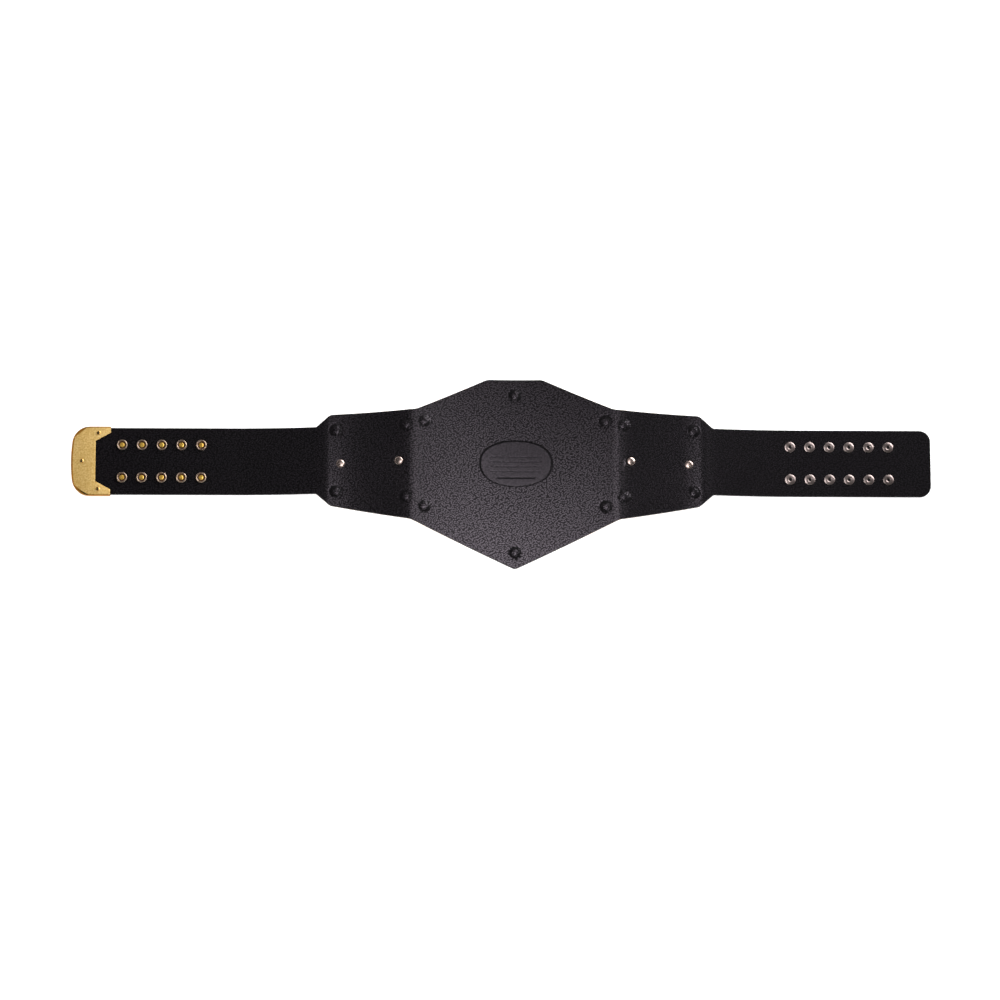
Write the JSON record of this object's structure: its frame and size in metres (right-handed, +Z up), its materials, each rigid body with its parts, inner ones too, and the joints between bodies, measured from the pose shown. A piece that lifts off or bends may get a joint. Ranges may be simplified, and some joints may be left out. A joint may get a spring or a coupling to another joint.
{
  "type": "championship title belt",
  "caption": "Leather title belt with a hexagonal middle, curved metal plates on its face, a cast tip cap and snap fasteners at both ends.",
  "frame": {"origin": "middle of the main plate's flattest facet, where it rests on the surface that the belt lies on, face down", "axes": "+X along the belt from the tip cap to the stud end, +Y towards the hexagon's flat edge, +Z up out of the lining"},
  "size_m": [1.2992, 0.2894, 0.0324],
  "materials": {
    "strap_leather": "black full-grain leather with a painted edge",
    "lining_leather": "black pebbled lining leather, satin",
    "gold_plate": "gold-plated zinc casting, polished",
    "gold_snap": "gold-plated brass snap, polished",
    "nickel": "nickel-plated steel, polished"
  },
  "bodies": {
    "root": {"strap_leather": "strap_leather", "lining_leather": "lining_leather", "main_plate": "gold_plate", "side_plate_left": "gold_plate", "side_plate_right": "gold_plate", "tip_tray": "gold_plate", "tip_cover": "gold_plate", "tip_rivet_middle": "gold_plate", "tip_rivet_top": "gold_plate", "tip_rivet_bottom": "gold_plate", "snap_cap_top_1": "gold_snap", "snap_cap_top_2": "gold_snap", "snap_cap_top_3": "gold_snap", "snap_cap_top_4": "gold_snap", "snap_cap_top_5": "gold_snap", "snap_cap_bottom_1": "gold_snap", "snap_cap_bottom_2": "gold_snap", "snap_cap_bottom_3": "gold_snap", "snap_cap_bottom_4": "gold_snap", "snap_cap_bottom_5": "gold_snap", "snap_stud_top_1": "nickel", "snap_stud_top_2": "nickel", "snap_stud_top_3": "nickel", "snap_stud_top_4": "nickel", "snap_stud_top_5": "nickel", "snap_stud_top_6": "nickel", "snap_stud_bottom_1": "nickel", "snap_stud_bottom_2": "nickel", "snap_stud_bottom_3": "nickel", "snap_stud_bottom_4": "nickel", "snap_stud_bottom_5": "nickel", "snap_stud_bottom_6": "nickel", "main_screw_top": "nickel", "main_screw_bottom": "nickel", "main_screw_top_left": "nickel", "main_screw_top_right": "nickel", "main_screw_bottom_left": "nickel", "main_screw_bottom_right": "nickel", "side_screw_left_inner_top": "nickel", "side_screw_left_inner_bottom": "nickel", "side_screw_left_outer_top": "nickel", "side_screw_left_outer_bottom": "nickel", "side_screw_right_inner_top": "nickel", "side_screw_right_inner_bottom": "nickel", "side_screw_right_outer_top": "nickel", "side_screw_right_outer_bottom": "nickel", "insert_screw_left_inner": "nickel", "insert_screw_left_outer": "nickel", "insert_screw_right_inner": "nickel", "insert_screw_right_outer": "nickel"}
  },
  "joints": []
}
